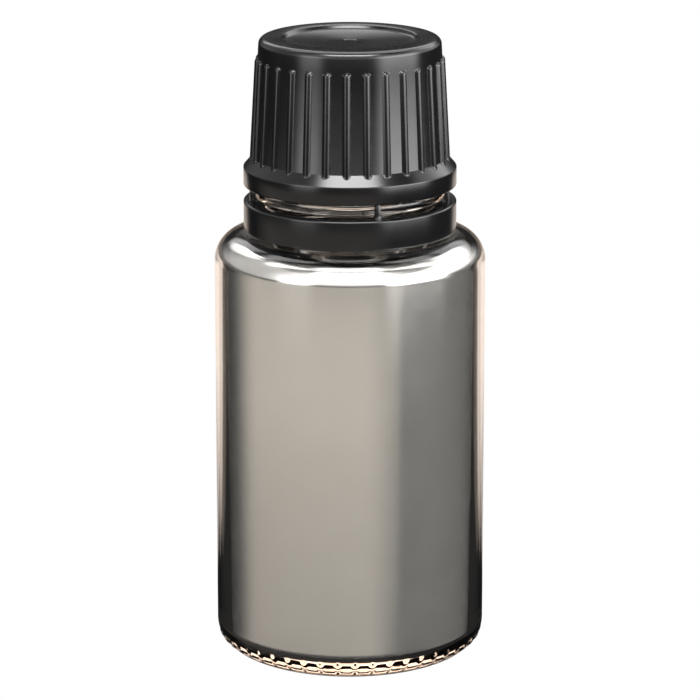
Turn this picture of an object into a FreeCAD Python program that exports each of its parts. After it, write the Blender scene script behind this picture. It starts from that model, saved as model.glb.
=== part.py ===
import FreeCAD, Part
import Sketcher
import os
import re

# Ink bottle: a small round glass bottle with an 18 mm screw neck, a dropper insert,
# a sealing liner, a ribbed screw cap and the tamper ring that breaks off it.
# Millimetres. The origin is on the bottle's axis, on the plane that it stands on, +Z up.
# The front of the bottle faces -Y.

# Driving sizes: alias, value, meaning
sizes = [
    ("bodyRadius", 14.25, "outer radius of the glass body"),
    ("bodyWall", 1.3, "glass thickness of the body's side"),
    ("shoulderTop", 45.45, "height of the flat shoulder"),
    ("shoulderWall", 1.3, "glass thickness under the shoulder"),
    ("shoulderRound", 2.95, "outer rounding of the shoulder"),
    ("heelRound", 3.05, "outer rounding of the heel"),
    ("floorThickness", 2.05, "glass thickness of the floor"),
    ("cavityHeelRound", 0.9, "rounding of the cavity's lower corner"),
    ("baseRimWidth", 1.0, "width of the flat rim that the bottle stands on"),
    ("baseHollowRise", 0.7, "height of that hollow at its middle"),
    ("knurlCount", 48, "grip marks round the heel"),
    ("knurlWidth", 0.65, "width of a grip mark round the heel"),
    ("knurlProud", 0.15, "how far a grip mark stands out of the heel"),
    ("knurlSink", 0.15, "how far a grip mark reaches into the heel"),
    ("knurlTurn", 2.2, "angle of the first grip mark"),
    ("neckStep", 0.95, "step from the finish out to the neck under the bead"),
    ("neckRound", 0.6, "hollow rounding between shoulder and neck"),
    ("boreRadius", 6.0, "radius of the mouth's bore"),
    ("beadStep", 1.05, "how far the bead stands out beyond the thread"),
    ("beadGap", 0.15, "free height between the tamper ring's top and the bead"),
    ("beadThickness", 1.35, "height of the bead"),
    ("finishRadius", 7.95, "outer radius of the finish between the threads"),
    ("finishHeight", 17.35, "height of the mouth over the shoulder"),
    ("mouthRound", 0.5, "rounding of the mouth's outer edge"),
    ("threadDepth", 0.95, "depth of the neck thread"),
    ("threadPitch", 3.0, "rise of the thread in one turn"),
    ("threadTurns", 1.9, "turns of the neck thread"),
    ("threadRoot", 1.5, "height of the neck thread at its root"),
    ("threadCrest", 0.7, "height of the neck thread at its crest"),
    ("threadDrop", 2.6, "mouth to the upper end of the neck thread"),
    ("inkGap", 0.06, "film of air between the ink and the glass"),
    ("plugClearance", 0.02, "radial clearance of the insert's plug in the bore"),
    ("plugLength", 6.5, "length of the insert's plug"),
    ("plugWall", 0.9, "wall of the insert's plug"),
    ("insertFlange", 0.8, "thickness of the insert's flange"),
    ("insertInset", 0.65, "step from the finish in to the insert's flange"),
    ("insertFloor", 0.8, "thickness of the insert's floor"),
    ("insertDepth", 4.3, "mouth down to the underside of the insert's floor"),
    ("nozzleRadius", 1.6, "outer radius of the drip nozzle"),
    ("nozzleBore", 0.5, "radius of the drip nozzle's orifice"),
    ("nozzleDrop", 0.3, "nozzle's tip below the insert's flange"),
    ("ventRadius", 0.4, "radius of the air hole beside the nozzle"),
    ("ventOffset", 3.3, "air hole to the axis"),
    ("linerThickness", 0.9, "thickness of the sealing liner"),
    ("linerClearance", 0.15, "radial clearance of the liner in the cap"),
    ("capClearance", 0.25, "radial clearance between cap and neck threads"),
    ("capWall", 1.05, "wall of the cap round its threads"),
    ("capStep", 0.65, "step from the threaded bore in to the liner's seat"),
    ("capStepDrop", 1.3, "mouth to the lower edge of the liner's seat"),
    ("capTaper", 0.7, "how much slimmer the cap is at its top"),
    ("capTopWall", 1.25, "thickness of the cap's top over the liner"),
    ("capTopRound", 0.7, "rounding of the cap's top edge"),
    ("recessRadius", 7.1, "radius of the shallow recess in the cap's top"),
    ("recessDepth", 0.35, "depth of that recess"),
    ("ribCount", 30, "grip ribs round the cap"),
    ("ribWidth", 0.8, "width of a grip rib"),
    ("ribProud", 0.3, "how far a rib stands out of the cap"),
    ("ribDrop", 2.45, "cap's top to the round end of a rib"),
    ("ribTurn", 4.1, "angle of the first rib"),
    ("capThreadDepth", 0.95, "depth of the cap's thread"),
    ("capThreadRoot", 1.3, "height of the cap's thread at its root"),
    ("capThreadCrest", 0.6, "height of the cap's thread at its crest"),
    ("capThreadTurns", 1.3, "turns of the cap's thread"),
    ("skirtWall", 1.07, "wall of the cap's flange and of the tamper ring"),
    ("skirtClearance", 0.15, "radial clearance round the bead"),
    ("flangeHeight", 1.92, "upright part of the cap's flange"),
    ("flangeSlope", 1.1, "height of the slope above the flange"),
    ("ringGap", 0.32, "shoulder to the tamper ring"),
    ("ringHeight", 3.15, "height of the tamper ring"),
    ("ringRound", 0.15, "rounding of the ring's and the flange's edges"),
    ("lipClearance", 0.35, "radial clearance of the ring's lip round the neck"),
    ("lipDrop", 0.5, "ring's top to the top of its lip"),
    ("lipHeight", 0.4, "upright face of the lip"),
    ("lipSlope", 1.0, "height of the slope under the lip"),
    ("breakGap", 1.63, "gap between the tamper ring and the cap"),
    ("bridgeCount", 4, "break-away bridges between ring and cap"),
    ("bridgeWidth", 0.56, "width of a bridge round the ring"),
    ("bridgeThickness", 0.5, "thickness of a bridge from inside to outside"),
    ("bridgeFoot", 0.45, "height of the flared foot of a bridge"),
    ("bridgeInset", 0.2, "ring's inner face to the bridge"),
    ("bridgeTurn", 15.5, "angle of the first bridge"),
    ("tearGap", 0.03, "torn tip of a bridge to the cap"),
]

# Places and sizes that follow from the driving sizes
derived = {
    "baseHollowRadius": "bodyRadius - heelRound - baseRimWidth",
    "neckRadius": "finishRadius + neckStep",
    "beadRadius": "finishRadius + threadDepth + beadStep",
    "cavityRadius": "bodyRadius - bodyWall",
    "cavityTop": "shoulderTop - shoulderWall",
    "cavityTopRound": "shoulderRound - bodyWall",
    "ringBottom": "shoulderTop + ringGap",
    "ringTop": "ringBottom + ringHeight",
    "ringInner": "beadRadius + skirtClearance",
    "ringOuter": "ringInner + skirtWall",
    "lipInner": "neckRadius + lipClearance",
    "lipTop": "ringTop - lipDrop",
    "bridgeInner": "ringInner + bridgeInset",
    "bridgeTop": "capBottom - tearGap",
    "beadBottom": "ringTop + beadGap",
    "beadTop": "beadBottom + beadThickness",
    "mouth": "shoulderTop + finishHeight",
    "threadTop": "mouth - threadDrop",
    "threadBottom": "threadTop - threadTurns * threadPitch",
    "capBottom": "ringTop + breakGap",
    "capBore": "finishRadius + threadDepth + capClearance",
    "capLowRadius": "capBore + capWall",
    "capTopRadius": "capLowRadius - capTaper",
    "slopeBottom": "capBottom + flangeHeight",
    "slopeTop": "slopeBottom + flangeSlope",
    "seatRadius": "capBore - capStep",
    "seatBottom": "mouth - capStepDrop",
    "linerBottom": "mouth + insertFlange",
    "linerTop": "linerBottom + linerThickness",
    "capTop": "linerTop + capTopWall + recessDepth",
    "ribTop": "capTop - ribDrop",
    "ribTopRadius": "capLowRadius - capTaper * (ribTop - slopeTop) / (capTop - slopeTop)",
    "capThreadBottom": "threadBottom + threadPitch / 2",
    "insertUnderside": "mouth - insertDepth",
}

# The grip marks' stretch of the heel, in degrees below its centre, and their sloped ends
knurlUpperAngle = 14
knurlLowerAngle = 44
knurlEndAngle = 7
# How far a thread or a rib reaches into the wall that carries it
threadBite = 0.1
expressionWords = ("sin", "cos", "deg")

doc = FreeCAD.newDocument("InkBottle")
sheet = doc.addObject("Spreadsheet::Sheet", "Sizes")


def fillSheet():
    for row, (alias, value, meaning) in enumerate(sizes, start=1):
        sheet.set(f"A{row}", meaning)
        sheet.set(f"B{row}", str(value))
        sheet.setAlias(f"B{row}", alias)
    doc.recompute()


def inSheet(text):
    # Writes an expression's words as cells of the sheet
    def swap(match):
        word = match.group(0)
        if word in expressionWords:
            return word
        if word in derived:
            return f"({inSheet(derived[word])})"
        return f"Sizes.{word}"

    return re.sub(r"[A-Za-z]\w*", swap, text)


def sizeOf(text):
    return float(sheet.evalExpression(inSheet(text)))


def newBody(name, turn=None):
    body = doc.addObject("PartDesign::Body", name)
    body.Label = name
    if turn:
        body.Placement = FreeCAD.Placement(FreeCAD.Vector(), FreeCAD.Rotation(FreeCAD.Vector(0, 0, 1), 1))
        body.setExpression("Placement.Rotation.Angle", f"{inSheet(turn)} * 1 deg")
    return body


def newSketch(body, name, role="XZ_Plane", turn=None):
    sketch = body.newObject("Sketcher::SketchObject", name)
    plane = next(item for item in body.Origin.OriginFeatures if item.Role == role)
    sketch.AttachmentSupport = [(plane, "")]
    sketch.MapMode = "FlatFace"
    if turn:
        sketch.AttachmentOffset = FreeCAD.Placement(FreeCAD.Vector(), FreeCAD.Rotation(FreeCAD.Vector(0, 1, 0), 1))
        sketch.setExpression("AttachmentOffset.Rotation.Angle", f"{inSheet(turn)} * 1 deg")
    return sketch


def bindSize(sketch, constraint, text):
    index = sketch.addConstraint(constraint)
    sketch.setExpression(f"Constraints[{index}]", inSheet(text))


def placePoint(sketch, line, end, across, up):
    # A point of the sketch gets its two distances from the origin
    if across == "0":
        sketch.addConstraint(Sketcher.Constraint("PointOnObject", line, end, -2))
    else:
        bindSize(sketch, Sketcher.Constraint("DistanceX", -1, 1, line, end, sizeOf(across)), across)
    if up == "0":
        sketch.addConstraint(Sketcher.Constraint("PointOnObject", line, end, -1))
    else:
        bindSize(sketch, Sketcher.Constraint("DistanceY", -1, 1, line, end, sizeOf(up)), up)


def drawOutline(body, name, corners, turn=None):
    # A closed outline of straight lines in a plane through the axis
    sketch = newSketch(body, name, turn=turn)
    points = []
    for across, up in corners:
        points.append(FreeCAD.Vector(sizeOf(across), sizeOf(up), 0))
    for start, end in zip(points, points[1:] + points[:1]):
        sketch.addGeometry(Part.LineSegment(start, end))
    for index, (across, up) in enumerate(corners):
        before = (index - 1) % len(corners)
        sketch.addConstraint(Sketcher.Constraint("Coincident", before, 2, index, 1))
        placePoint(sketch, index, 1, across, up)
    return sketch


def finish(body, feature):
    # The newest feature becomes the one that the body shows and the next one builds on
    body.Tip = feature
    doc.recompute()
    return feature


def spin(body, name, sketch):
    turned = body.newObject("PartDesign::Revolution", name)
    turned.Profile = sketch
    turned.ReferenceAxis = (sketch, ["V_Axis"])
    turned.Angle = 360
    return finish(body, turned)


def windThread(body, name, sketch, turns):
    thread = body.newObject("PartDesign::AdditiveHelix", name)
    thread.Profile = sketch
    thread.ReferenceAxis = (sketch, ["V_Axis"])
    thread.Mode = "pitch-height-angle"
    thread.setExpression("Pitch", inSheet("threadPitch"))
    thread.setExpression("Height", inSheet(f"threadPitch * {turns}"))
    return finish(body, thread)


def roundRings(body, name, radius, rings):
    # Fillets the circular edges that lie at the given radii and heights
    base = body.Tip
    names = []
    for across, up in rings:
        for index, edge in enumerate(base.Shape.Edges, start=1):
            if not isinstance(edge.Curve, Part.Circle):
                continue
            sameRadius = abs(edge.Curve.Radius - sizeOf(across)) < 0.001
            sameHeight = abs(edge.Curve.Center.z - sizeOf(up)) < 0.001
            if sameRadius and sameHeight:
                names.append(f"Edge{index}")
    if len(names) != len(rings):
        raise RuntimeError(f"{name}: {len(names)} edges found for {len(rings)} roundings")
    fillet = body.newObject("PartDesign::Fillet", name)
    fillet.Base = (base, names)
    fillet.setExpression("Radius", inSheet(radius))
    return finish(body, fillet)


def addFin(body, name, corners, width):
    # A flat fin, its outline in a plane through the axis and its thickness round the axis
    sketch = drawOutline(body, name + "Outline", corners)
    fin = body.newObject("PartDesign::Pad", name)
    fin.Profile = sketch
    fin.Midplane = True
    fin.setExpression("Length", inSheet(width))
    return finish(body, fin)


def repeatRound(body, name, feature, count):
    pattern = body.newObject("PartDesign::PolarPattern", name)
    pattern.Originals = [feature]
    axis = next(item for item in body.Origin.OriginFeatures if item.Role == "Z_Axis")
    pattern.Axis = (axis, [""])
    pattern.Angle = 360
    pattern.setExpression("Occurrences", inSheet(count))
    return finish(body, pattern)


def onHeel(angle, lift):
    # A point over the heel's rounding by lift, at an angle below its centre
    across = f"bodyRadius - heelRound + (heelRound + {lift}) * cos({angle} deg)"
    up = f"heelRound - (heelRound + {lift}) * sin({angle} deg)"
    return across, up


def makeBottle():
    body = newBody("glass_bottle", "knurlTurn")
    outline = drawOutline(body, "BottleOutline", [
        ("0", "baseHollowRise"),
        ("baseHollowRadius", "0"),
        ("bodyRadius", "0"),
        ("bodyRadius", "shoulderTop"),
        ("neckRadius", "shoulderTop"),
        ("neckRadius", "beadBottom"),
        ("beadRadius", "beadBottom"),
        ("beadRadius", "beadTop"),
        ("finishRadius", "beadTop"),
        ("finishRadius", "mouth"),
        ("boreRadius", "mouth"),
        ("boreRadius", "cavityTop"),
        ("cavityRadius", "cavityTop"),
        ("cavityRadius", "floorThickness"),
        ("0", "floorThickness"),
    ], "180 / knurlCount")
    spin(body, "BottleBlank", outline)
    roundRings(body, "Heel", "heelRound", [("bodyRadius", "0")])
    roundRings(body, "Shoulder", "shoulderRound", [("bodyRadius", "shoulderTop")])
    roundRings(body, "CavityShoulder", "cavityTopRound", [("cavityRadius", "cavityTop")])
    roundRings(body, "CavityHeel", "cavityHeelRound", [("cavityRadius", "floorThickness")])
    roundRings(body, "NeckRoot", "neckRound", [("neckRadius", "shoulderTop")])
    roundRings(body, "Bead", "beadThickness / 3", [
        ("beadRadius", "beadBottom"),
        ("beadRadius", "beadTop"),
        ("finishRadius", "beadTop"),
    ])
    roundRings(body, "Mouth", "mouthRound", [("finishRadius", "mouth")])
    thread = drawOutline(body, "NeckThreadOutline", [
        (f"finishRadius - {threadBite}", "threadBottom - threadRoot / 2"),
        ("finishRadius + threadDepth", "threadBottom - threadCrest / 2"),
        ("finishRadius + threadDepth", "threadBottom + threadCrest / 2"),
        (f"finishRadius - {threadBite}", "threadBottom + threadRoot / 2"),
    ])
    windThread(body, "NeckThread", thread, "threadTurns")
    knurl = addFin(body, "Knurl", [
        onHeel(knurlUpperAngle, "-knurlSink"),
        onHeel(knurlUpperAngle + knurlEndAngle, "knurlProud"),
        onHeel((knurlUpperAngle + knurlLowerAngle) / 2, "knurlProud"),
        onHeel(knurlLowerAngle - knurlEndAngle, "knurlProud"),
        onHeel(knurlLowerAngle, "-knurlSink"),
    ], "knurlWidth")
    repeatRound(body, "Knurls", knurl, "knurlCount")
    return body


def makeInk():
    body = newBody("ink")
    outline = drawOutline(body, "InkOutline", [
        ("0", "floorThickness + inkGap"),
        ("cavityRadius - inkGap", "floorThickness + inkGap"),
        ("cavityRadius - inkGap", "cavityTop - inkGap"),
        ("0", "cavityTop - inkGap"),
    ])
    spin(body, "InkFill", outline)
    roundRings(body, "InkHeel", "cavityHeelRound", [("cavityRadius - inkGap", "floorThickness + inkGap")])
    roundRings(body, "InkShoulder", "cavityTopRound", [("cavityRadius - inkGap", "cavityTop - inkGap")])
    return body


def makeInsert():
    body = newBody("dropper_insert")
    outline = drawOutline(body, "InsertOutline", [
        ("nozzleBore", "insertUnderside"),
        ("boreRadius - plugClearance - plugWall", "insertUnderside"),
        ("boreRadius - plugClearance - plugWall", "mouth - plugLength"),
        ("boreRadius - plugClearance", "mouth - plugLength"),
        ("boreRadius - plugClearance", "mouth"),
        ("finishRadius - insertInset", "mouth"),
        ("finishRadius - insertInset", "linerBottom"),
        ("boreRadius - plugClearance - plugWall", "linerBottom"),
        ("boreRadius - plugClearance - plugWall", "insertUnderside + insertFloor"),
        ("nozzleRadius", "insertUnderside + insertFloor"),
        ("nozzleRadius", "linerBottom - nozzleDrop"),
        ("nozzleBore", "linerBottom - nozzleDrop"),
    ])
    spin(body, "InsertBlank", outline)
    roundRings(body, "PlugEnd", "plugWall / 3", [("boreRadius - plugClearance", "mouth - plugLength")])
    vent = newSketch(body, "VentOutline", "XY_Plane")
    centre = FreeCAD.Vector(sizeOf("ventOffset"), 0, 0)
    vent.addGeometry(Part.Circle(centre, FreeCAD.Vector(0, 0, 1), sizeOf("ventRadius")))
    placePoint(vent, 0, 3, "ventOffset", "0")
    bindSize(vent, Sketcher.Constraint("Radius", 0, sizeOf("ventRadius")), "ventRadius")
    hole = body.newObject("PartDesign::Pocket", "Vent")
    hole.Profile = vent
    hole.Reversed = True
    hole.setExpression("Length", inSheet("mouth"))
    finish(body, hole)
    return body


def makeLiner():
    body = newBody("seal_liner")
    outline = drawOutline(body, "LinerOutline", [
        ("0", "linerBottom"),
        ("seatRadius - linerClearance", "linerBottom"),
        ("seatRadius - linerClearance", "linerTop"),
        ("0", "linerTop"),
    ])
    spin(body, "LinerDisc", outline)
    return body


def makeCap():
    body = newBody("screw_cap", "ribTurn")
    outline = drawOutline(body, "CapOutline", [
        ("0", "linerTop"),
        ("seatRadius", "linerTop"),
        ("seatRadius", "seatBottom"),
        ("capBore", "seatBottom"),
        ("capBore", "slopeTop"),
        ("ringInner", "slopeBottom"),
        ("ringInner", "capBottom"),
        ("ringOuter", "capBottom"),
        ("ringOuter", "slopeBottom"),
        ("capLowRadius", "slopeTop"),
        ("capTopRadius", "capTop"),
        ("recessRadius", "capTop"),
        ("recessRadius", "capTop - recessDepth"),
        ("0", "capTop - recessDepth"),
    ], "180 / ribCount")
    spin(body, "CapBlank", outline)
    roundRings(body, "CapTopEdge", "capTopRound", [("capTopRadius", "capTop")])
    roundRings(body, "CapRecess", "recessDepth / 2", [("recessRadius", "capTop")])
    roundRings(body, "CapFlange", "ringRound", [("ringOuter", "capBottom"), ("ringOuter", "slopeBottom")])
    thread = drawOutline(body, "CapThreadOutline", [
        (f"capBore + {threadBite}", "capThreadBottom - capThreadRoot / 2"),
        ("capBore - capThreadDepth", "capThreadBottom - capThreadCrest / 2"),
        ("capBore - capThreadDepth", "capThreadBottom + capThreadCrest / 2"),
        (f"capBore + {threadBite}", "capThreadBottom + capThreadRoot / 2"),
    ])
    windThread(body, "CapThread", thread, "capThreadTurns")
    rib = addFin(body, "Rib", [
        (f"capLowRadius - {threadBite}", "slopeTop - ribProud"),
        ("capLowRadius + ribProud", "slopeTop - ribProud"),
        ("ribTopRadius + ribProud", "ribTop - ribProud"),
        ("ribTopRadius", "ribTop"),
        (f"ribTopRadius - {threadBite}", "ribTop"),
    ], "ribWidth")
    repeatRound(body, "Ribs", rib, "ribCount")
    return body


def makeTamperRing():
    body = newBody("tamper_ring", "bridgeTurn")
    outline = drawOutline(body, "RingOutline", [
        ("ringInner", "ringBottom"),
        ("ringOuter", "ringBottom"),
        ("ringOuter", "ringTop"),
        ("ringInner", "ringTop"),
        ("ringInner", "lipTop"),
        ("lipInner", "lipTop"),
        ("lipInner", "lipTop - lipHeight"),
        ("ringInner", "lipTop - lipHeight - lipSlope"),
    ])
    spin(body, "RingBlank", outline)
    roundRings(body, "RingEdges", "ringRound", [("ringOuter", "ringBottom"), ("ringOuter", "ringTop")])
    bridge = addFin(body, "Bridge", [
        ("bridgeInner", f"ringTop - {threadBite}"),
        ("ringOuter - ringRound", f"ringTop - {threadBite}"),
        ("ringOuter - ringRound", "ringTop"),
        ("bridgeInner + bridgeThickness", "ringTop + bridgeFoot"),
        ("bridgeInner + bridgeThickness", "bridgeTop"),
        ("bridgeInner", "bridgeTop"),
    ], "bridgeWidth")
    repeatRound(body, "Bridges", bridge, "bridgeCount")
    return body


def checkDocument(bodies):
    for item in doc.Objects:
        if "Invalid" in item.State or "Error" in item.State:
            raise RuntimeError(f"{item.Name} failed: {item.State}")
    for body in bodies:
        if body.Shape.isNull() or not body.Shape.isValid() or len(body.Shape.Solids) != 1:
            raise RuntimeError(f"{body.Label} is not one valid solid")


def writeParts(bodies):
    os.makedirs("parts", exist_ok=True)
    for body in bodies:
        body.Shape.exportStep(f"parts/{body.Label}.step")
        print(f"{body.Label}: {body.Shape.Volume:.1f} mm3")


fillSheet()
bodies = [
    makeBottle(),
    makeInk(),
    makeInsert(),
    makeLiner(),
    makeCap(),
    makeTamperRing(),
]
doc.recompute()
checkDocument(bodies)
writeParts(bodies)
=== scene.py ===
import math

import bmesh
import bpy
from mathutils import Matrix, Vector


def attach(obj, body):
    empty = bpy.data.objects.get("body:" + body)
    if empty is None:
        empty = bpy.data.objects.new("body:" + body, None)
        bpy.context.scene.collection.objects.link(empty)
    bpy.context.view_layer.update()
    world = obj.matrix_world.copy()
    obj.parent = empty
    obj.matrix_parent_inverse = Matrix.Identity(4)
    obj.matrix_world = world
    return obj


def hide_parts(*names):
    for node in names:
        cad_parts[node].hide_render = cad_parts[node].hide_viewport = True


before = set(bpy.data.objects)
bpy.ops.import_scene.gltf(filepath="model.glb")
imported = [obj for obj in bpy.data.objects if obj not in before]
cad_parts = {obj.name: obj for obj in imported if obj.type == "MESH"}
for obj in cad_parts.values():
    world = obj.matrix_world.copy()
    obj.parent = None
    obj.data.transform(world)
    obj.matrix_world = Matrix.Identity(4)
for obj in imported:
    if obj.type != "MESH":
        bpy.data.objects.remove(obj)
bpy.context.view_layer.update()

mm = 0.001
touching = 0.001  # millimetres: closer than this is on the same surface
scene = bpy.context.scene


def roundedOutline(corners, arcStep=0.2):
    # Each corner is (radius, height), with a rounding and a number of rows to the next corner if it has them
    points = []
    for index, corner in enumerate(corners):
        here = Vector(corner[:2])
        rounding = corner[2] if len(corner) > 2 else 0
        if not rounding:
            points.append([here])
            continue
        back = (Vector(corners[index - 1][:2]) - here).normalized()
        ahead = (Vector(corners[(index + 1) % len(corners)][:2]) - here).normalized()
        half = back.angle(ahead) / 2
        centre = here + (back + ahead).normalized() * rounding / math.sin(half)
        start = here + back * rounding / math.tan(half) - centre
        sweep = math.pi - 2 * half
        side = 1 if back.cross(ahead) < 0 else -1
        pieces = max(2, math.ceil(sweep * rounding / arcStep))
        arc = []
        for step in range(pieces + 1):
            turn = side * sweep * step / pieces
            across = start.x * math.cos(turn) - start.y * math.sin(turn)
            up = start.x * math.sin(turn) + start.y * math.cos(turn)
            arc.append(centre + Vector((across, up)))
        points.append(arc)
    outline = []
    for index, group in enumerate(points):
        outline += group
        rows = corners[index][3] if len(corners[index]) > 3 else 1
        following = points[(index + 1) % len(points)][0]
        for row in range(1, rows):
            outline.append(group[-1].lerp(following, row / rows))
    return outline


def spinOutline(outline, steps, loop=False):
    # Turns an outline of millimetre points round the upright axis into a closed skin.
    # One sixteenth is spun, and the rest are copies of it, which is much faster than one full spin
    skin = bmesh.new()
    verts = [skin.verts.new((point.x * mm, 0, point.y * mm)) for point in outline]
    edges = [skin.edges.new(pair) for pair in zip(verts, verts[1:])]
    if loop:
        edges.append(skin.edges.new((verts[-1], verts[0])))
    doublings = 4
    wedge = 2 * math.pi / 2 ** doublings
    bmesh.ops.spin(
        skin, geom=verts + edges, cent=(0, 0, 0), axis=(0, 0, 1),
        angle=wedge, steps=steps // 2 ** doublings, use_merge=False,
    )
    for doubling in range(doublings):
        copied = bmesh.ops.duplicate(skin, geom=skin.verts[:] + skin.edges[:] + skin.faces[:])["geom"]
        turned = [item for item in copied if isinstance(item, bmesh.types.BMVert)]
        turn = Matrix.Rotation(wedge * 2 ** doubling, 3, "Z")
        bmesh.ops.rotate(skin, cent=(0, 0, 0), matrix=turn, verts=turned)
    bmesh.ops.remove_doubles(skin, verts=skin.verts, dist=1e-7)
    bmesh.ops.recalc_face_normals(skin, faces=skin.faces)
    return skin


def addPiece(name, skin, material, body, node, sharp=38):
    mesh = bpy.data.meshes.new(name)
    skin.to_mesh(mesh)
    skin.free()
    mesh.shade_smooth()
    mesh.set_sharp_from_angle(angle=math.radians(sharp))
    mesh.materials.append(material)
    piece = bpy.data.objects.new(name, mesh)
    scene.collection.objects.link(piece)
    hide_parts(node)
    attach(piece, body)


def threadLift(thread, angle, height):
    # How far a thread stands out at an angle (radians) and a height (mm)
    first = (angle - math.radians(thread["startAngle"])) / (2 * math.pi) % 1
    lift = 0
    for turn in range(math.ceil(thread["turns"]) + 1):
        place = first + turn
        if place > thread["turns"]:
            break
        away = abs(height - thread["bottom"] - place * thread["pitch"])
        flank = (thread["root"] - thread["crest"]) / 2
        full = min(1, max(0, (thread["root"] / 2 - away) / flank))
        runOut = min(1, place / thread["runOut"], (thread["turns"] - place) / thread["runOut"])
        lift = max(lift, full * math.sqrt(max(0, runOut)))
    return lift * thread["depth"]


def moveOut(vert, radius):
    # Puts a vertex at a radius (mm) from the upright axis, at its own angle and height
    angle = math.atan2(vert.co.y, vert.co.x)
    vert.co.x = radius * mm * math.cos(angle)
    vert.co.y = radius * mm * math.sin(angle)


def bareMaterial(name):
    material = bpy.data.materials.new(name)
    material.use_nodes = True
    tree = material.node_tree
    tree.nodes.clear()
    return material, tree, tree.nodes.new("ShaderNodeOutputMaterial")


def newMaterial(name):
    material, tree, output = bareMaterial(name)
    shader = tree.nodes.new("ShaderNodeBsdfPrincipled")
    tree.links.new(shader.outputs["BSDF"], output.inputs["Surface"])
    return material, shader


def addNode(tree, kind, **values):
    node = tree.nodes.new(kind)
    for key, value in values.items():
        if key in node.inputs:
            node.inputs[key].default_value = value
        else:
            setattr(node, key, value)
    return node


def buildMouldedSurface():
    # Fine moulded plastic or glass skin: soft unevenness, fine grain and a roughness that drifts
    group = bpy.data.node_groups.new("mouldedSurface", "ShaderNodeTree")
    for name, usual in (("Wave Size", 400), ("Wave", 0.2), ("Grain Size", 6000), ("Grain", 0.1),
                        ("Roughness", 0.3), ("Drift", 0.05)):
        socket = group.interface.new_socket(name, in_out="INPUT", socket_type="NodeSocketFloat")
        socket.default_value = usual
    group.interface.new_socket("Roughness", in_out="OUTPUT", socket_type="NodeSocketFloat")
    group.interface.new_socket("Height", in_out="OUTPUT", socket_type="NodeSocketFloat")
    link = group.links.new
    given = group.nodes.new("NodeGroupInput")
    result = group.nodes.new("NodeGroupOutput")
    place = group.nodes.new("ShaderNodeTexCoord")
    wave = addNode(group, "ShaderNodeTexNoise", Detail=2.0)
    grain = addNode(group, "ShaderNodeTexNoise", Detail=3.0)
    for noise, size in ((wave, "Wave Size"), (grain, "Grain Size")):
        link(place.outputs["Object"], noise.inputs["Vector"])
        link(given.outputs[size], noise.inputs["Scale"])
    waveHeight = addNode(group, "ShaderNodeMath", operation="MULTIPLY")
    link(wave.outputs["Fac"], waveHeight.inputs[0])
    link(given.outputs["Wave"], waveHeight.inputs[1])
    height = addNode(group, "ShaderNodeMath", operation="MULTIPLY_ADD")
    link(grain.outputs["Fac"], height.inputs[0])
    link(given.outputs["Grain"], height.inputs[1])
    link(waveHeight.outputs[0], height.inputs[2])
    link(height.outputs[0], result.inputs["Height"])
    centred = addNode(group, "ShaderNodeMath", operation="SUBTRACT")
    centred.inputs[1].default_value = 0.5
    link(wave.outputs["Fac"], centred.inputs[0])
    rough = addNode(group, "ShaderNodeMath", operation="MULTIPLY_ADD")
    link(centred.outputs[0], rough.inputs[0])
    link(given.outputs["Drift"], rough.inputs[1])
    link(given.outputs["Roughness"], rough.inputs[2])
    link(rough.outputs[0], result.inputs["Roughness"])
    return group


def mouldedSurface(material, shader, bump, **values):
    # Places the moulded surface in a material and feeds its roughness and bump
    tree = material.node_tree
    surface = tree.nodes.new("ShaderNodeGroup")
    surface.node_tree = moulded
    for key, value in values.items():
        surface.inputs[key].default_value = value
    bumpNode = addNode(tree, "ShaderNodeBump", Distance=bump, Strength=1.0)
    tree.links.new(surface.outputs["Height"], bumpNode.inputs["Height"])
    tree.links.new(bumpNode.outputs["Normal"], shader.inputs["Normal"])
    tree.links.new(surface.outputs["Roughness"], shader.inputs["Roughness"])


glassLook = {
    "ior": 1.5, "tint": (1.0, 0.80, 0.62, 1), "tintDensity": 55.0, "bump": 0.00002,
    "skin": {"Wave Size": 180, "Wave": 0.12, "Grain Size": 3000, "Grain": 0.0, "Roughness": 0.0, "Drift": 0.0},
}


def makeGlass():
    look = glassLook
    material, shader = newMaterial("clear flint glass")
    shader.inputs["Base Color"].default_value = (1, 1, 1, 1)
    shader.inputs["IOR"].default_value = look["ior"]
    shader.inputs["Transmission Weight"].default_value = 1
    mouldedSurface(material, shader, look["bump"], **look["skin"])
    tree = material.node_tree
    absorb = addNode(tree, "ShaderNodeVolumeAbsorption", Color=look["tint"], Density=look["tintDensity"])
    tree.links.new(absorb.outputs["Volume"], tree.get_output_node("ALL").inputs["Volume"])
    return material


inkLook = {
    "dark": (0.72, 0.72, 0.70, 1), "light": (0.78, 0.78, 0.76, 1), "cloudSize": 120.0, "metallic": 0.85,
    "bump": 0.00001,
    "skin": {"Wave Size": 300, "Wave": 0.2, "Grain Size": 5000, "Grain": 0.1, "Roughness": 0.15, "Drift": 0.05},
}


def makeInkMaterial():
    look = inkLook
    material, shader = newMaterial("grey pigment ink")
    tree = material.node_tree
    place = tree.nodes.new("ShaderNodeTexCoord")
    cloud = addNode(tree, "ShaderNodeTexNoise", Scale=look["cloudSize"], Detail=3.0)
    tree.links.new(place.outputs["Object"], cloud.inputs["Vector"])
    colours = tree.nodes.new("ShaderNodeValToRGB")
    colours.color_ramp.elements[0].color = look["dark"]
    colours.color_ramp.elements[1].color = look["light"]
    shader.inputs["Metallic"].default_value = look["metallic"]
    tree.links.new(cloud.outputs["Fac"], colours.inputs["Fac"])
    tree.links.new(colours.outputs["Color"], shader.inputs["Base Color"])
    mouldedSurface(material, shader, look["bump"], **look["skin"])
    return material


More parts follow.
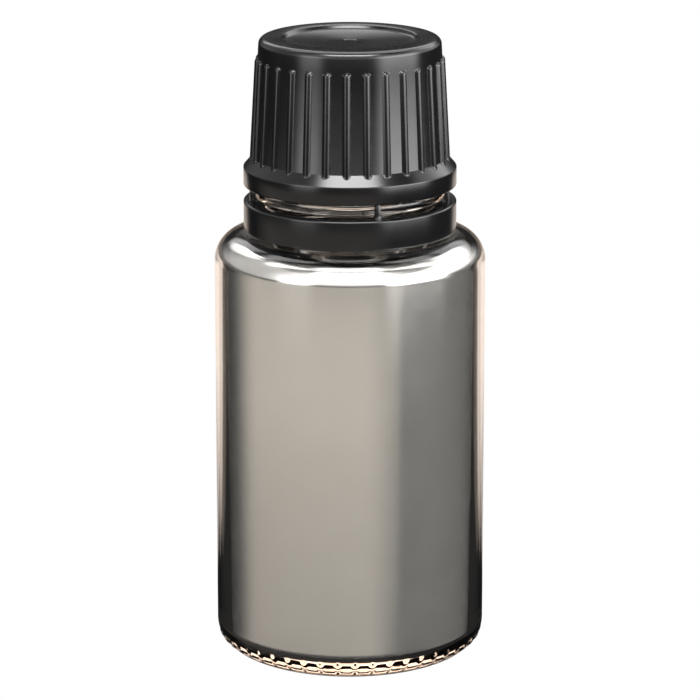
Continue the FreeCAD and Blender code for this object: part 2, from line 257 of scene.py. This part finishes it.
capLook = {
    "colour": (0.004, 0.004, 0.0043, 1), "bump": 0.00004,
    "skin": {"Wave Size": 260, "Wave": 0.3, "Grain Size": 7000, "Grain": 0.04, "Roughness": 0.2, "Drift": 0.1},
}
insertLook = {
    "colour": (0.8, 0.8, 0.77, 1), "bump": 0.00003,
    "skin": {"Wave Size": 400, "Wave": 0.3, "Grain Size": 6000, "Grain": 0.1, "Roughness": 0.4, "Drift": 0.1},
    "glowThrough": 0.3, "glowColour": (1, 0.9, 0.8), "glowDepth": 0.001,
}
linerLook = {
    "colour": (0.82, 0.82, 0.8, 1), "bump": 0.00008,
    "skin": {"Wave Size": 900, "Wave": 0.4, "Grain Size": 4000, "Grain": 0.5, "Roughness": 0.7, "Drift": 0.1},
}


def makePlain(name, look):
    # A material of one colour. Light soaks into it where its look says how much
    material, shader = newMaterial(name)
    shader.inputs["Base Color"].default_value = look["colour"]
    if "glowThrough" in look:
        shader.inputs["Subsurface Weight"].default_value = look["glowThrough"]
        shader.inputs["Subsurface Radius"].default_value = look["glowColour"]
        shader.inputs["Subsurface Scale"].default_value = look["glowDepth"]
    mouldedSurface(material, shader, look["bump"], **look["skin"])
    return material


moulded = buildMouldedSurface()
glass = makeGlass()
inkMaterial = makeInkMaterial()
capPlastic = makePlain("satin black polypropylene", capLook)
insertPlastic = makePlain("milky polyethylene", insertLook)
linerFoam = makePlain("white foam", linerLook)
print("materials made")


bottle = {
    "radius": 14.25, "wall": 1.3, "shoulder": 45.45, "shoulderRound": 2.95, "heelRound": 3.05,
    "cornerRound": 0.9, "floor": 2.05, "hollowRadius": 10.2, "hollowRise": 0.7, "hollowRound": 0.6,
    "neckRadius": 8.9, "neckRound": 0.6, "beadRadius": 9.95, "beadBottom": 49.07, "beadTop": 50.42,
    "beadRound": 0.45, "beadFootRound": 0.2, "finishRadius": 7.95, "mouth": 62.8, "mouthRound": 0.5,
    "boreRadius": 6.0, "boreRound": 0.6, "steps": 576,
    "marks": 48, "markTurn": 2.2, "markWidth": 0.65, "markUpper": 14, "markLower": 44, "markProud": 0.11,
}
neckThread = {
    "bottom": 54.5, "pitch": 3.0, "turns": 1.9, "startAngle": 2.2, "root": 1.5, "crest": 0.7,
    "depth": 0.95, "runOut": 0.08, "rows": 44,
}


def makeBottle():
    size = bottle
    cavity = size["radius"] - size["wall"]
    ceiling = size["shoulder"] - size["wall"]
    skin = spinOutline(roundedOutline([
        (0, size["hollowRise"]),
        (size["hollowRadius"], 0, size["hollowRound"]),
        (size["radius"], 0, size["heelRound"]),
        (size["radius"], size["shoulder"], size["shoulderRound"]),
        (size["neckRadius"], size["shoulder"], size["neckRound"]),
        (size["neckRadius"], size["beadBottom"], size["beadFootRound"]),
        (size["beadRadius"], size["beadBottom"], size["beadRound"]),
        (size["beadRadius"], size["beadTop"], size["beadRound"]),
        (size["finishRadius"], size["beadTop"], size["beadRound"], neckThread["rows"]),
        (size["finishRadius"], size["mouth"], size["mouthRound"]),
        (size["boreRadius"], size["mouth"], size["mouthRound"]),
        (size["boreRadius"], ceiling, size["boreRound"]),
        (cavity, ceiling, size["shoulderRound"] - size["wall"]),
        (cavity, size["floor"], size["cornerRound"]),
        (0, size["floor"]),
    ]), size["steps"])
    for vert in skin.verts:
        radius = math.hypot(vert.co.x, vert.co.y) / mm
        angle = math.atan2(vert.co.y, vert.co.x)
        height = vert.co.z / mm
        onFinish = abs(radius - size["finishRadius"]) < touching
        if onFinish and height > size["beadTop"]:
            moveOut(vert, radius + threadLift(neckThread, angle, height))
        shapeHeel(vert, radius, angle, height)
    addPiece("bottleGlass", skin, glass, "bottle", "glass_bottle")


def shapeHeel(vert, radius, angle, height):
    # Raises the grip marks, small lens-shaped bosses along the heel's rounding
    size = bottle
    middle = size["radius"] - size["heelRound"]
    reach = math.hypot(radius - middle, height - size["heelRound"])
    if height >= size["heelRound"] or abs(reach - size["heelRound"]) > touching:
        return
    below = math.degrees(math.atan2(size["heelRound"] - height, radius - middle))
    pitch = 360 / size["marks"]
    aside = (math.degrees(angle) - size["markTurn"] + pitch / 2) % pitch - pitch / 2
    across = math.radians(aside) * radius / (size["markWidth"] / 2)
    along = (2 * below - size["markUpper"] - size["markLower"]) / (size["markLower"] - size["markUpper"])
    dome = 1 - across * across - along * along
    if dome > 0:
        lift = 1 + size["markProud"] * dome / size["heelRound"]
        vert.co.z = (size["heelRound"] + (height - size["heelRound"]) * lift) * mm
        moveOut(vert, middle + (radius - middle) * lift)


makeBottle()
print("bottle made")


inkSize = {"gap": 0.06, "steps": 192}


def makeInk():
    radius = bottle["radius"] - bottle["wall"] - inkSize["gap"]
    low = bottle["floor"] + inkSize["gap"]
    top = bottle["shoulder"] - bottle["wall"] - inkSize["gap"]
    skin = spinOutline(roundedOutline([
        (0, low),
        (radius, low, bottle["cornerRound"]),
        (radius, top, bottle["shoulderRound"] - bottle["wall"]),
        (0, top),
    ]), inkSize["steps"])
    addPiece("inkFill", skin, inkMaterial, "bottle", "ink")


makeInk()
print("ink made")


insert = {
    "plugRadius": 5.98, "plugWall": 0.9, "plugLength": 6.5, "flangeRadius": 7.3, "flange": 0.8,
    "floorDepth": 4.3, "floor": 0.8, "nozzleRadius": 1.6, "nozzleTaper": 0.8, "nozzleBore": 0.5,
    "nozzleDrop": 0.3, "boreRound": 0.1, "floorRound": 0.2, "plugInnerRound": 0.15, "plugRound": 0.3,
    "flangeFootRound": 0.1, "flangeRound": 0.2, "rimRound": 0.25, "wellRound": 0.3, "tipRound": 0.15,
    "arcStep": 0.08, "steps": 192,
}


def makeInsert():
    size = insert
    mouth = bottle["mouth"]
    inner = size["plugRadius"] - size["plugWall"]
    underside = mouth - size["floorDepth"]
    tip = mouth + size["flange"] - size["nozzleDrop"]
    skin = spinOutline(roundedOutline([
        (size["nozzleBore"], underside, size["boreRound"]),
        (inner, underside, size["floorRound"]),
        (inner, mouth - size["plugLength"], size["plugInnerRound"]),
        (size["plugRadius"], mouth - size["plugLength"], size["plugRound"]),
        (size["plugRadius"], mouth),
        (size["flangeRadius"], mouth, size["flangeFootRound"]),
        (size["flangeRadius"], mouth + size["flange"], size["flangeRound"]),
        (inner, mouth + size["flange"], size["rimRound"]),
        (inner, underside + size["floor"], size["wellRound"]),
        (size["nozzleRadius"], underside + size["floor"], size["wellRound"]),
        (size["nozzleRadius"] * size["nozzleTaper"], tip, size["tipRound"]),
        (size["nozzleBore"], tip, size["boreRound"]),
    ], size["arcStep"]), size["steps"], loop=True)
    addPiece("dropperInsert", skin, insertPlastic, "bottle", "dropper_insert")


makeInsert()


liner = {"radius": 8.35, "thickness": 0.9, "edgeRound": 0.12, "arcStep": 0.05, "steps": 192}


def makeLiner():
    low = bottle["mouth"] + insert["flange"]
    skin = spinOutline(roundedOutline([
        (0, low),
        (liner["radius"], low, liner["edgeRound"]),
        (liner["radius"], low + liner["thickness"], liner["edgeRound"]),
        (0, low + liner["thickness"]),
    ], liner["arcStep"]), liner["steps"])
    addPiece("sealLiner", skin, linerFoam, "liner", "seal_liner")


makeLiner()
print("insert and liner made")


cap = {
    "bottom": 50.55, "top": 66.1, "lowRadius": 10.2, "topRadius": 9.5, "topRound": 0.7,
    "flangeRadius": 11.17, "flangeTop": 52.47, "slopeTop": 53.57, "flangeRound": 0.18, "skirtBore": 10.1,
    "bore": 9.15, "seatRadius": 8.5, "seatBottom": 61.5, "ceiling": 64.5,
    "recessRadius": 7.1, "recessDepth": 0.35, "ribs": 30, "ribTurn": 4.1, "ribRound": 0.42, "ribProud": 0.3,
    "ribTop": 64.07, "ribFoot": 0.5, "slopeRows": 12, "gateRadius": 0.7, "gateDepth": 0.04,
    "slopeRound": 0.12, "innerRound": 0.2, "seatRound": 0.15, "skirtRound": 0.12, "recessRound": 0.16,
    "recessFootRound": 0.12, "recessSlope": 0.25, "gateRound": 0.05, "gateSlope": 0.1, "domeRows": 9,
    "wallMargin": 0.05, "arcStep": 0.09, "steps": 720, "sharp": 30,
}
capThread = {
    "bottom": 56.0, "pitch": 3.0, "turns": 1.3, "startAngle": 4.1, "root": 1.3, "crest": 0.6,
    "depth": 0.95, "runOut": 0.08, "rows": 36,
}


def capWallRadius(height):
    share = (height - cap["slopeTop"]) / (cap["top"] - cap["slopeTop"])
    return cap["lowRadius"] + (cap["topRadius"] - cap["lowRadius"]) * share


def ribRadius(angle, height):
    # The radius of the nearest rib's surface, a leaning rod with a round upper end
    pitch = 2 * math.pi / cap["ribs"]
    aside = (angle - math.radians(cap["ribTurn"]) + pitch / 2) % pitch - pitch / 2
    across = aside * capWallRadius(height)
    rise = max(0, height - cap["ribTop"] + cap["ribRound"])
    left = cap["ribRound"] ** 2 - across ** 2 - rise ** 2
    if left <= 0:
        return 0
    return capWallRadius(height) + cap["ribProud"] - cap["ribRound"] + math.sqrt(left)


def makeCap():
    size = cap
    recessFloor = size["top"] - size["recessDepth"]
    wall = [(size["lowRadius"], size["slopeTop"], size["slopeRound"])]
    for step in range(size["domeRows"] + 1):
        rise = math.sin(math.pi / 2 * step / size["domeRows"]) * size["ribRound"]
        height = size["ribTop"] - size["ribRound"] + rise
        wall.append((capWallRadius(height), height))
    skin = spinOutline(roundedOutline([
        (0, size["ceiling"]),
        (size["seatRadius"], size["ceiling"], size["innerRound"]),
        (size["seatRadius"], size["seatBottom"], size["seatRound"]),
        (size["bore"], size["seatBottom"], size["seatRound"], capThread["rows"]),
        (size["bore"], size["slopeTop"], size["innerRound"]),
        (size["skirtBore"], size["flangeTop"], size["innerRound"]),
        (size["skirtBore"], size["bottom"], size["skirtRound"]),
        (size["flangeRadius"], size["bottom"], size["flangeRound"]),
        (size["flangeRadius"], size["flangeTop"], size["flangeRound"], size["slopeRows"]),
    ] + wall + [
        (size["topRadius"], size["top"], size["topRound"]),
        (size["recessRadius"], size["top"], size["recessRound"]),
        (size["recessRadius"] - size["recessSlope"], recessFloor, size["recessFootRound"]),
        (size["gateRadius"], recessFloor, size["gateRound"]),
        (size["gateRadius"] - size["gateSlope"], recessFloor - size["gateDepth"], size["gateRound"]),
        (0, recessFloor - size["gateDepth"]),
    ], size["arcStep"]), size["steps"])
    for vert in skin.verts:
        radius = math.hypot(vert.co.x, vert.co.y) / mm
        angle = math.atan2(vert.co.y, vert.co.x)
        height = vert.co.z / mm
        if abs(radius - size["bore"]) < touching and height > size["slopeTop"]:
            moveOut(vert, radius - threadLift(capThread, angle, height))
        onWall = radius > capWallRadius(height) - size["wallMargin"]
        if onWall and size["slopeTop"] - size["ribFoot"] < height < size["ribTop"]:
            moveOut(vert, max(radius, ribRadius(angle, height)))
    addPiece("screwCap", skin, capPlastic, "cap", "screw_cap", size["sharp"])


makeCap()
print("cap made")


ring = {
    "bottom": 45.77, "top": 48.92, "inner": 10.1, "outer": 11.17, "edgeRound": 0.2,
    "lipInner": 9.25, "lipTop": 48.42, "lipHeight": 0.4, "lipSlope": 1.0, "steps": 384,
    "bridges": 4, "bridgeTurn": 15.5, "bridgeInner": 10.3, "bridgeThickness": 0.5, "bridgeWidth": 0.56,
    "bridgeTop": 50.52, "bridgeFoot": 0.45, "footRows": 6, "bridgeSunk": 0.15, "bridgeEdge": 0.05,
    "bridgeSharp": 40, "footRound": 0.15, "topRound": 0.12, "lipRootRound": 0.05, "lipRound": 0.1,
    "arcStep": 0.06,
}


def addBridge(skin, turn):
    # One break-away bridge: an upright tab with a foot that flares out to the ring's face
    size = ring
    outside = size["bridgeInner"] + size["bridgeThickness"]
    reach = size["outer"] - size["edgeRound"] - outside
    low = size["top"] - size["bridgeSunk"]
    outline = [(size["bridgeInner"], size["bridgeTop"]), (size["bridgeInner"], low), (outside + reach, low)]
    for step in range(size["footRows"] + 1):
        share = step / size["footRows"]
        outline.append((outside + reach * (1 - share) ** 2, size["top"] + size["bridgeFoot"] * share))
    outline.append((outside, size["bridgeTop"]))
    verts = [skin.verts.new((across * mm, -size["bridgeWidth"] / 2 * mm, up * mm)) for across, up in outline]
    face = skin.faces.new(verts)
    made = bmesh.ops.extrude_face_region(skin, geom=[face])["geom"]
    moved = [item for item in made if isinstance(item, bmesh.types.BMVert)]
    bmesh.ops.translate(skin, vec=(0, size["bridgeWidth"] * mm, 0), verts=moved)
    bmesh.ops.rotate(skin, cent=(0, 0, 0), matrix=Matrix.Rotation(turn, 3, "Z"), verts=verts + moved)
    whole = set(verts + moved)
    edges = [edge for edge in skin.edges if edge.verts[0] in whole and len(edge.link_faces) == 2]
    sharp = [edge for edge in edges if edge.calc_face_angle() > math.radians(size["bridgeSharp"])]
    bmesh.ops.bevel(
        skin, geom=sharp, offset=size["bridgeEdge"] * mm, segments=2, profile=0.5, affect="EDGES",
        material=-1,
    )


def makeRing():
    size = ring
    lipBottom = size["lipTop"] - size["lipHeight"]
    skin = spinOutline(roundedOutline([
        (size["inner"], size["bottom"], size["footRound"]),
        (size["outer"], size["bottom"], size["edgeRound"]),
        (size["outer"], size["top"], size["edgeRound"]),
        (size["inner"], size["top"], size["topRound"]),
        (size["inner"], size["lipTop"], size["lipRootRound"]),
        (size["lipInner"], size["lipTop"], size["lipRound"]),
        (size["lipInner"], lipBottom, size["lipRound"]),
        (size["inner"], lipBottom - size["lipSlope"], size["lipRound"]),
    ], size["arcStep"]), size["steps"], loop=True)
    for index in range(size["bridges"]):
        addBridge(skin, math.radians(size["bridgeTurn"]) + index * 2 * math.pi / size["bridges"])
    bmesh.ops.recalc_face_normals(skin, faces=skin.faces)
    addPiece("tamperRing", skin, capPlastic, "ring", "tamper_ring")


makeRing()
print("ring made")


# glowStart and glowStartEdge place the floor glow's painted contact shadow under the base; glowNear is how far
# painted shade dims the glow next to the bottle, and it is full at glowFull
stage = {
    "floorSize": 3.0, "floorDrop": 0.00005, "surroundings": 0.02, "glowReach": 0.34, "glowEdge": 0.09,
    "glowStart": 0.0145, "glowStartEdge": 0.004, "glowFull": 0.12, "glowNear": 0.62,
    "white": (1, 1, 1, 1), "cameraPlace": (0, -0.3944, 0.13707), "cameraTilt": 14.855, "cameraLens": 197.9,
    "cameraSensor": 36, "cameraNearest": 0.01,
}
# Soft panels of light all round the bottle. Azimuth 0 is the front, and it grows towards +X. Sizes are
# half widths and half heights in degrees, and the edges are how many degrees they fade over
panels = {
    "key right": {"azimuth": 64, "height": 11, "size": (28, 16), "edges": (16, 10), "strength": 6.3},
    "fill left": {"azimuth": -50, "height": 11, "size": (14, 16), "edges": (12, 10), "strength": 3.0},
    "overhead": {"azimuth": 0, "height": 67, "size": (21, 10), "edges": (8, 6), "strength": 16.0},
    "rear": {"azimuth": 168, "height": 33, "size": (36, 12), "edges": (10, 6), "strength": 2.0},
}
# Level bands of softer light, given in the same way but keeping one height all along
bands = {
    "front": {"azimuth": 0, "height": 40, "size": (66, 38), "edges": (50, 8), "strength": 1.4},
    "left": {"azimuth": -94, "height": 27, "size": (52, 28), "edges": (40, 6), "strength": 0.55},
    "right": {"azimuth": 90, "height": 24, "size": (50, 22), "edges": (40, 6), "strength": 1.7},
    "high rear": {"azimuth": 180, "height": 60, "size": (60, 12), "edges": (20, 8), "strength": 3.0},
}
# Painted light: glows on the floor that stand in for what the table throws back round the bottle, with painted
# shadow where a sector ends. Each sector is its middle azimuth, half width, edge and centre
tableGlows = {
    # Warm painted pool of light in front; past its right edge lies the bottle's own shadow, painted in
    "warm front": {"sectors": [(-44, 90, 6, (0.005, -0.012, 0)), (-52, 90, 60, (0.003, -0.012, 0)),
                               (-19, 90, 36, (-0.0099, -0.0083, 0))],
                   "colour": (1, 0.93, 0.83), "strength": 0.56},
    "behind": {"sectors": [(180, 36, 7, (0, 0, 0))], "colour": (1, 0.88, 0.79), "strength": 1.0},
}
rearStrip = {
    "radius": 0.019, "low": 0.0004, "high": 0.0042, "from": 150, "to": 210, "steps": 24,
    "colour": (1, 0.95, 0.9, 1), "strength": 1.5,
}


def softEdge(tree, value, half, edge, middle=0):
    # 1 inside the half size on each side of the middle, fading to 0 over the edge
    offset = addNode(tree, "ShaderNodeMath", operation="SUBTRACT")
    offset.inputs[1].default_value = math.radians(middle)
    tree.links.new(value, offset.inputs[0])
    away = addNode(tree, "ShaderNodeMath", operation="ABSOLUTE")
    tree.links.new(offset.outputs[0], away.inputs[0])
    fade = addNode(tree, "ShaderNodeMapRange", interpolation_type="SMOOTHSTEP")
    fade.inputs["From Min"].default_value = math.radians(half + edge / 2)
    fade.inputs["From Max"].default_value = math.radians(half - edge / 2)
    tree.links.new(away.outputs[0], fade.inputs["Value"])
    return fade.outputs["Result"]


def addGlow(tree, total, mask, colour, strength):
    # Adds one glow to the running total of colours and returns the new total
    tinted = addNode(tree, "ShaderNodeVectorMath", operation="SCALE")
    tinted.inputs[0].default_value = [part * strength for part in colour]
    tree.links.new(mask, tinted.inputs["Scale"])
    added = addNode(tree, "ShaderNodeVectorMath", operation="ADD")
    if total is not None:
        tree.links.new(total, added.inputs[0])
    tree.links.new(tinted.outputs[0], added.inputs[1])
    return added.outputs[0]


def multiply(tree, first, second):
    product = addNode(tree, "ShaderNodeMath", operation="MULTIPLY")
    tree.links.new(first, product.inputs[0])
    tree.links.new(second, product.inputs[1])
    return product.outputs[0]


def letThrough(tree, glow):
    # A glow that adds its light and hides nothing behind it
    clear = tree.nodes.new("ShaderNodeBsdfTransparent")
    both = tree.nodes.new("ShaderNodeAddShader")
    tree.links.new(glow.outputs[0], both.inputs[0])
    tree.links.new(clear.outputs[0], both.inputs[1])
    return both.outputs[0]


def whiteToCamera(tree, kind, lit, output):
    # The camera sees plain white, and the bottle's surfaces see the lit stage
    seen = addNode(tree, kind, Color=stage["white"], Strength=1.0)
    path = tree.nodes.new("ShaderNodeLightPath")
    mix = tree.nodes.new("ShaderNodeMixShader")
    tree.links.new(path.outputs["Is Camera Ray"], mix.inputs["Fac"])
    tree.links.new(lit, mix.inputs[1])
    tree.links.new(seen.outputs[0], mix.inputs[2])
    tree.links.new(mix.outputs["Shader"], output.inputs["Surface"])


def azimuthFrom(tree, vector, azimuth, height=0, centre=(0, 0, 0)):
    # Turns a direction from a centre so that the given azimuth and height face the front, and splits it
    turned = addNode(tree, "ShaderNodeMapping", vector_type="TEXTURE")
    turned.inputs["Location"].default_value = centre
    turned.inputs["Rotation"].default_value = (math.radians(-height), 0, math.radians(azimuth))
    tree.links.new(vector, turned.inputs["Vector"])
    parts = tree.nodes.new("ShaderNodeSeparateXYZ")
    tree.links.new(turned.outputs["Vector"], parts.inputs[0])
    front = addNode(tree, "ShaderNodeMath", operation="MULTIPLY")
    front.inputs[1].default_value = -1
    tree.links.new(parts.outputs["Y"], front.inputs[0])
    around = addNode(tree, "ShaderNodeMath", operation="ARCTAN2")
    tree.links.new(parts.outputs["X"], around.inputs[0])
    tree.links.new(front.outputs[0], around.inputs[1])
    rise = addNode(tree, "ShaderNodeMath", operation="ARCSINE")
    tree.links.new(parts.outputs["Z"], rise.inputs[0])
    return around.outputs[0], rise.outputs[0]


def makeFloor():
    skin = bmesh.new()
    bmesh.ops.create_grid(skin, x_segments=8, y_segments=8, size=stage["floorSize"] / 2)
    bmesh.ops.translate(skin, vec=(0, 0, -stage["floorDrop"]), verts=skin.verts)
    mesh = bpy.data.meshes.new("floor")
    skin.to_mesh(mesh)
    skin.free()
    # For the bottle's surfaces the floor is a painted glow of table light with painted shadows in it; the
    # camera sees plain white
    material, tree, output = bareMaterial("pale floor with painted light and shadow")
    place = tree.nodes.new("ShaderNodeTexCoord")
    reach = addNode(tree, "ShaderNodeVectorMath", operation="LENGTH")
    tree.links.new(place.outputs["Object"], reach.inputs[0])
    near = addNode(tree, "ShaderNodeMapRange", interpolation_type="SMOOTHSTEP")
    near.inputs["From Min"].default_value = stage["glowReach"]
    near.inputs["From Max"].default_value = stage["glowReach"] - stage["glowEdge"]
    tree.links.new(reach.outputs["Value"], near.inputs["Value"])
    # Painted contact shadow: the glow is cut off under the bottle's base
    contactShadowMask = addNode(tree, "ShaderNodeMapRange", interpolation_type="SMOOTHSTEP")
    contactShadowMask.inputs["From Min"].default_value = stage["glowStart"]
    contactShadowMask.inputs["From Max"].default_value = stage["glowStart"] + stage["glowStartEdge"]
    tree.links.new(reach.outputs["Value"], contactShadowMask.inputs["Value"])
    # Painted shade: the glow is dimmer next to the bottle and full further out
    shade = tree.nodes.new("ShaderNodeMapRange")
    shade.inputs["From Min"].default_value = stage["glowStart"]
    shade.inputs["From Max"].default_value = stage["glowFull"]
    shade.inputs["To Min"].default_value = stage["glowNear"]
    tree.links.new(reach.outputs["Value"], shade.inputs["Value"])
    ringMask = multiply(tree, near.outputs["Result"], contactShadowMask.outputs["Result"])
    ringMask = multiply(tree, ringMask, shade.outputs["Result"])
    total = None
    for glow in tableGlows.values():
        mask = ringMask
        for azimuth, halfWidth, edge, centre in glow["sectors"]:
            around = azimuthFrom(tree, place.outputs["Object"], azimuth, centre=centre)[0]
            mask = multiply(tree, mask, softEdge(tree, around, halfWidth, edge))
        total = addGlow(tree, total, mask, glow["colour"], glow["strength"])
    thrown = tree.nodes.new("ShaderNodeEmission")
    tree.links.new(total, thrown.inputs["Color"])
    whiteToCamera(tree, "ShaderNodeEmission", letThrough(tree, thrown), output)
    mesh.materials.append(material)
    floor = bpy.data.objects.new("floor", mesh)
    scene.collection.objects.link(floor)


def makeRearStrip():
    # A low curved strip light close behind the bottle, which makes the heel sparkle
    size = rearStrip
    skin = bmesh.new()
    start = math.radians(size["from"])
    foot = Vector((math.sin(start), -math.cos(start), 0)) * size["radius"]
    verts = [skin.verts.new(foot + Vector((0, 0, height))) for height in (size["low"], size["high"])]
    edge = skin.edges.new(verts)
    bmesh.ops.spin(
        skin, geom=verts + [edge], cent=(0, 0, 0), axis=(0, 0, 1),
        angle=math.radians(size["to"] - size["from"]), steps=size["steps"],
    )
    mesh = bpy.data.meshes.new("rearStrip")
    skin.to_mesh(mesh)
    skin.free()
    material, tree, output = bareMaterial("strip light")
    glow = addNode(tree, "ShaderNodeEmission", Color=size["colour"], Strength=size["strength"])
    tree.links.new(letThrough(tree, glow), output.inputs["Surface"])
    mesh.materials.append(material)
    strip = bpy.data.objects.new("rearStrip", mesh)
    strip.visible_camera = False
    scene.collection.objects.link(strip)


def makeWorld():
    world = bpy.data.worlds.new("studio")
    scene.world = world
    world.use_nodes = True
    tree = world.node_tree
    tree.nodes.clear()
    place = tree.nodes.new("ShaderNodeTexCoord")
    base = addNode(tree, "ShaderNodeCombineXYZ", X=stage["surroundings"], Y=stage["surroundings"],
                   Z=stage["surroundings"])
    total = base.outputs[0]
    for panel in panels.values():
        around, rise = azimuthFrom(tree, place.outputs["Generated"], panel["azimuth"], panel["height"])
        wide = softEdge(tree, around, panel["size"][0], panel["edges"][0])
        high = softEdge(tree, rise, panel["size"][1], panel["edges"][1])
        total = addGlow(tree, total, multiply(tree, wide, high), stage["white"][:3], panel["strength"])
    for band in bands.values():
        around, rise = azimuthFrom(tree, place.outputs["Generated"], band["azimuth"])
        wide = softEdge(tree, around, band["size"][0], band["edges"][0])
        high = softEdge(tree, rise, band["size"][1], band["edges"][1], band["height"])
        total = addGlow(tree, total, multiply(tree, wide, high), stage["white"][:3], band["strength"])
    output = tree.nodes.new("ShaderNodeOutputWorld")
    lit = addNode(tree, "ShaderNodeBackground", Strength=1.0)
    tree.links.new(total, lit.inputs["Color"])
    whiteToCamera(tree, "ShaderNodeBackground", lit.outputs["Background"], output)


def makeCamera():
    camera = bpy.data.cameras.new("camera")
    camera.lens = stage["cameraLens"]
    camera.sensor_width = stage["cameraSensor"]
    camera.clip_start = stage["cameraNearest"]
    holder = bpy.data.objects.new("camera", camera)
    holder.location = stage["cameraPlace"]
    holder.rotation_euler = (math.radians(90 - stage["cameraTilt"]), 0, 0)
    scene.collection.objects.link(holder)
    scene.camera = holder


makeFloor()
makeRearStrip()
makeWorld()
makeCamera()
scene.view_settings.view_transform = "Standard"
print("stage made")
